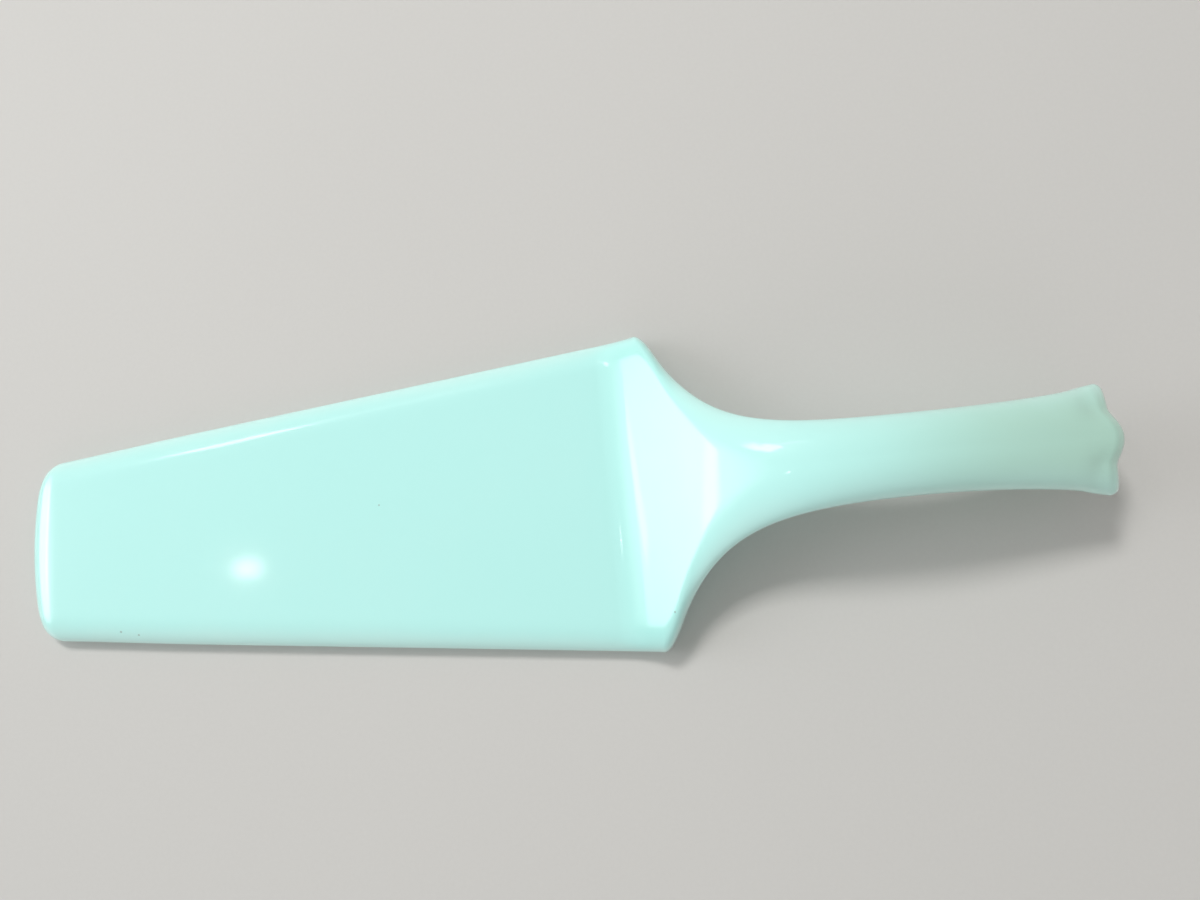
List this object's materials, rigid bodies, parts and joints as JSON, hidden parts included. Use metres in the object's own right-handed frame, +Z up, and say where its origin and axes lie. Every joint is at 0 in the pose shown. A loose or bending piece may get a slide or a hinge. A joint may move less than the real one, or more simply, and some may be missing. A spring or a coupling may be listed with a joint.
{
  "type": "pill counting tray",
  "caption": "Flat glazed porcelain shovel with a tapered blade, a rising shoulder and an arched handle with a lobed end, for counting or lifting.",
  "frame": {"origin": "on the table under the middle of the whole length, on the plane of symmetry", "axes": "+X along the length towards the handle, +Y across the blade, +Z up from the table"},
  "size_m": [0.2497, 0.0728, 0.0295],
  "materials": {
    "blade_glaze": "gloss",
    "shoulder_glaze": "gloss",
    "handle_glaze": "gloss",
    "handle_end_glaze": "gloss"
  },
  "bodies": {
    "root": {"blade": "blade_glaze", "shoulder": "shoulder_glaze", "handle": "handle_glaze", "handle_end": "handle_end_glaze"}
  },
  "joints": []
}
